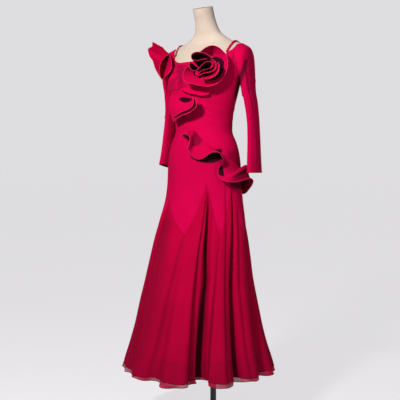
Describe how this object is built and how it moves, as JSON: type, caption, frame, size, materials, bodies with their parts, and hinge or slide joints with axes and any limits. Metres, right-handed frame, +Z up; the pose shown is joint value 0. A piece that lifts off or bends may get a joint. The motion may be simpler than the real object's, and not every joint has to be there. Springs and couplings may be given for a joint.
{
  "type": "ballroom gown on a limbless dress form with a pole stand",
  "caption": "Fitted long-sleeved ballroom gown with a flared godet skirt, standing rose and flounces, on a limbless dress form.",
  "frame": {"origin": "centre of the round base's underside, on the pole's axis", "axes": "+Z up, -Y towards the gown's front, +X towards the wearer's left"},
  "size_m": [0.6246, 0.5795, 1.7162],
  "materials": {
    "crimson_cloth": "matt crepe",
    "dark_crimson_cloth": "matt crepe, in the shade of its folds",
    "organza": "sheer organza",
    "form_cover": "smooth linen cover",
    "black_steel": "satin black"
  },
  "bodies": {
    "root": {"bodice_back": "crimson_cloth", "bodice_front": "crimson_cloth", "dress_form": "form_cover", "form_base": "black_steel", "form_pole": "black_steel", "godet_1": "crimson_cloth", "godet_2": "crimson_cloth", "godet_3": "crimson_cloth", "godet_4": "crimson_cloth", "godet_5": "crimson_cloth", "godet_6": "crimson_cloth", "godet_7": "crimson_cloth", "godet_8": "crimson_cloth", "gore_1": "crimson_cloth", "gore_2": "crimson_cloth", "gore_3": "crimson_cloth", "gore_4": "crimson_cloth", "gore_5": "crimson_cloth", "gore_6": "crimson_cloth", "gore_7": "crimson_cloth", "gore_8": "crimson_cloth", "hem_band": "organza", "hip_ruffle": "crimson_cloth", "neck_drape": "crimson_cloth", "rose_band": "crimson_cloth", "rose_inner_curl": "crimson_cloth", "rose_lower_curl": "crimson_cloth", "rose_middle_curl": "crimson_cloth", "rose_outer_petal": "crimson_cloth", "rose_upper_curl": "crimson_cloth", "shoulder_back_leaf": "crimson_cloth", "shoulder_front_leaf": "dark_crimson_cloth", "sleeve_left": "crimson_cloth", "sleeve_right": "crimson_cloth", "strap_left": "crimson_cloth", "strap_right": "crimson_cloth", "waist_overlay": "crimson_cloth", "waist_ruffle": "dark_crimson_cloth"}
  },
  "joints": []
}
